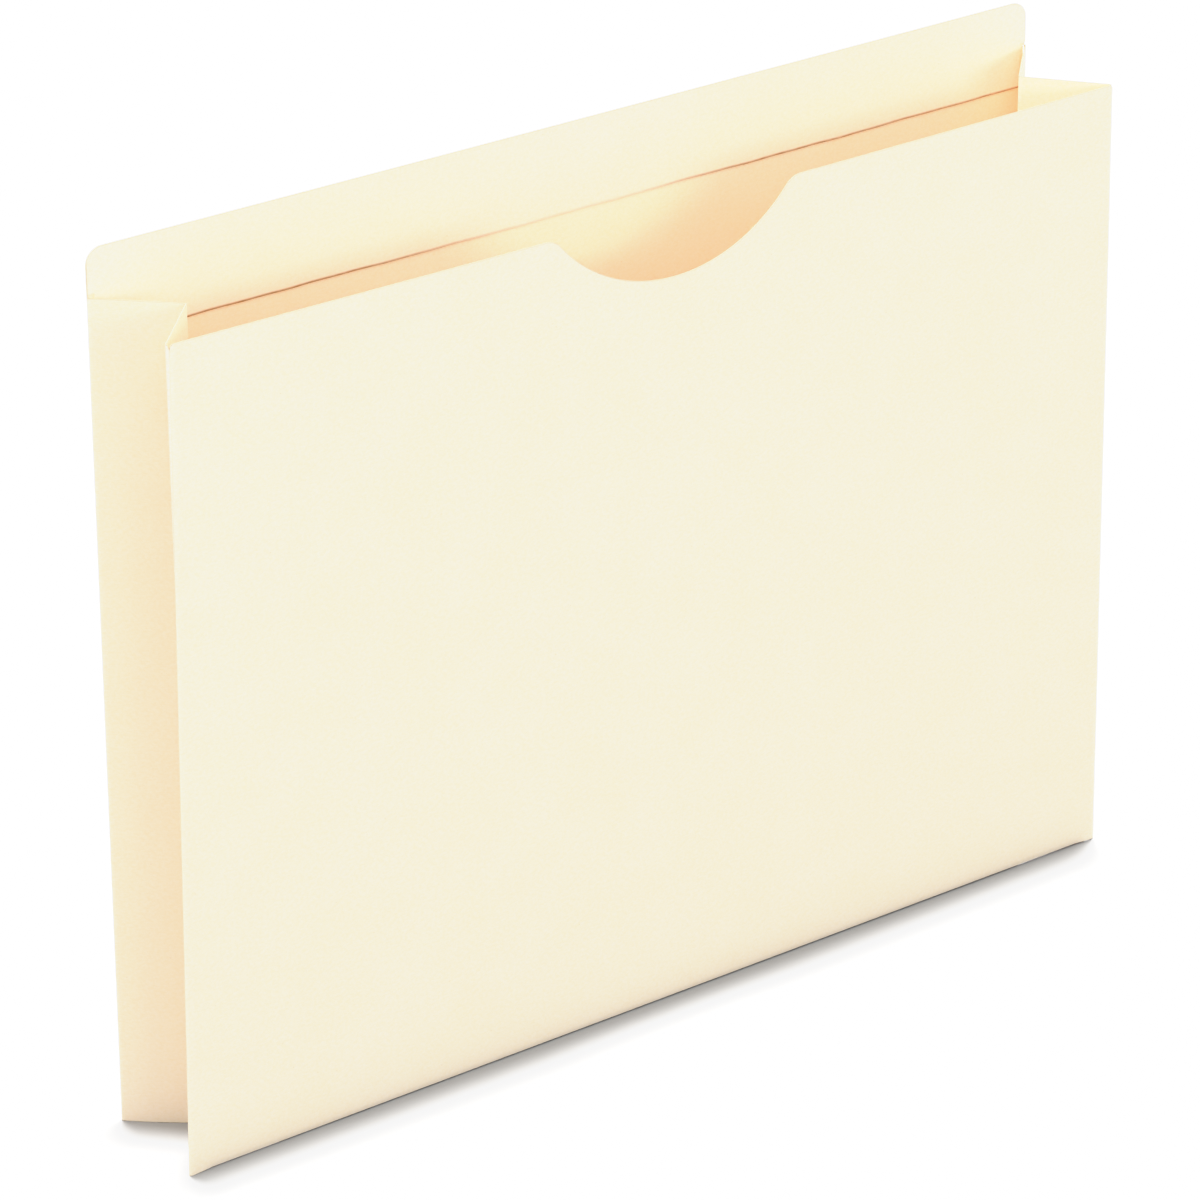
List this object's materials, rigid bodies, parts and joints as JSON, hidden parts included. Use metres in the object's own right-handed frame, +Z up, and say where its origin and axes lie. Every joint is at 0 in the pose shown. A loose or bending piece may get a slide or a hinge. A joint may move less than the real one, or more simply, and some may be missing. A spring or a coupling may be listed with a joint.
{
  "type": "file jacket",
  "caption": "Expanding manila file jacket: a tall back panel with a reinforced straight tab, a lower front panel with a thumb notch, and V-folded side and bottom gussets that open and close.",
  "frame": {"origin": "below the middle of the pocket, on the surface that the jacket stands on", "axes": "+X along the width, to the right seen from the front; +Y from the front panel to the back panel; +Z up"},
  "size_m": [0.2984, 0.036, 0.2413],
  "materials": {
    "manila_outside": "matt uncoated manila board, pale cream",
    "manila_inside": "matt uncoated manila board, pale cream, inside face",
    "manila_gusset": "matt uncoated manila board, pale cream, creased"
  },
  "bodies": {
    "back": {"back_panel": "manila_outside", "tab_reinforcing_ply": "manila_inside"},
    "left_gusset_back": {"left_gusset_back_half": "manila_gusset"},
    "left_gusset_front": {"left_gusset_front_half": "manila_gusset"},
    "front": {"front_panel": "manila_outside", "left_glue_flap": "manila_inside", "right_glue_flap": "manila_inside"},
    "right_gusset_back": {"right_gusset_back_half": "manila_gusset"},
    "right_gusset_front": {"right_gusset_front_half": "manila_gusset"},
    "bottom_gusset_back": {"bottom_gusset_back_half": "manila_gusset"},
    "bottom_gusset_front": {"bottom_gusset_front_half": "manila_gusset"}
  },
  "joints": [
    {"name": "expand", "type": "hinge", "parent": "back", "child": "left_gusset_back", "pos_m": [-0.14872, 0.01761, 0.114], "axis": [0, 0, -1], "range_deg": [-41.3, 44.7]},
    {"name": "left_crease", "type": "hinge", "parent": "left_gusset_back", "child": "left_gusset_front", "pos_m": [-0.1322, 0.0002, 0.114], "axis": [0, 0, 1], "range_deg": [-82.6, 89.4]},
    {"name": "front_fold", "type": "hinge", "parent": "left_gusset_front", "child": "front", "pos_m": [-0.14872, -0.01721, 0.114], "axis": [0, 0, -1], "range_deg": [-41.3, 44.7]},
    {"name": "right_back_fold", "type": "hinge", "parent": "back", "child": "right_gusset_back", "pos_m": [0.14872, 0.01761, 0.114], "axis": [0, 0, 1], "range_deg": [-41.3, 44.7]},
    {"name": "right_crease", "type": "hinge", "parent": "right_gusset_back", "child": "right_gusset_front", "pos_m": [0.1322, 0.0002, 0.114], "axis": [0, 0, -1], "range_deg": [-82.6, 89.4]},
    {"name": "bottom_back_fold", "type": "hinge", "parent": "back", "child": "bottom_gusset_back", "pos_m": [0, 0.01761, 0.0015], "axis": [1, 0, 0], "range_deg": [-41.3, 44.7]},
    {"name": "bottom_crease", "type": "hinge", "parent": "bottom_gusset_back", "child": "bottom_gusset_front", "pos_m": [0, 0.0002, 0.01803], "axis": [-1, 0, 0], "range_deg": [-82.6, 89.4]}
  ],
  "couplings": [
    {"joint": "left_crease", "follows": "expand", "ratio": 2},
    {"joint": "front_fold", "follows": "expand", "ratio": 1},
    {"joint": "right_back_fold", "follows": "expand", "ratio": 1},
    {"joint": "right_crease", "follows": "expand", "ratio": 2},
    {"joint": "bottom_back_fold", "follows": "expand", "ratio": 1},
    {"joint": "bottom_crease", "follows": "expand", "ratio": 2}
  ]
}
